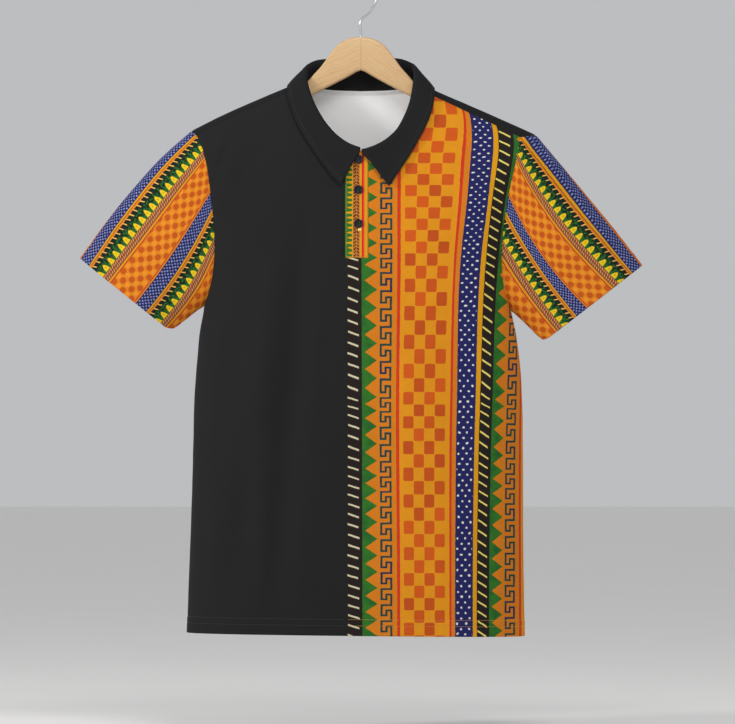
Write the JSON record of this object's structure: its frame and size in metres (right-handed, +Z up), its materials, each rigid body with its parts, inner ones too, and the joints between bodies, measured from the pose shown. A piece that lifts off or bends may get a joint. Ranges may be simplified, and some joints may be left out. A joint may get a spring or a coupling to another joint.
{
  "type": "polo shirt on a wooden hanger",
  "caption": "Short-sleeved polo shirt with a folded collar and buttoned placket, open and hollow, hanging on a flat wooden hanger with a wire hook.",
  "frame": {"origin": "inside of the hook's crest, where the hook rests on a rail", "axes": "+X to the viewer's right across the shoulders, +Y from front to back, +Z up from hem to hook"},
  "size_m": [0.7493, 0.1237, 0.8743],
  "materials": {
    "black_cloth": "plain black knit cloth, matte, with a white wrong side",
    "kente_cloth": "knit cloth printed with bands of a traditional kente pattern, matte, with a white wrong side",
    "button": "black four-hole buttons, satin",
    "wood": "pale varnished wood",
    "steel": "bright steel wire"
  },
  "bodies": {
    "root": {"front": "kente_cloth", "back": "black_cloth", "sleeve_left": "kente_cloth", "sleeve_right": "kente_cloth", "collar": "black_cloth", "placket_top": "kente_cloth", "placket_under": "kente_cloth", "button_1": "button", "button_2": "button", "button_3": "button", "hanger": "wood", "hook": "steel"}
  },
  "joints": []
}
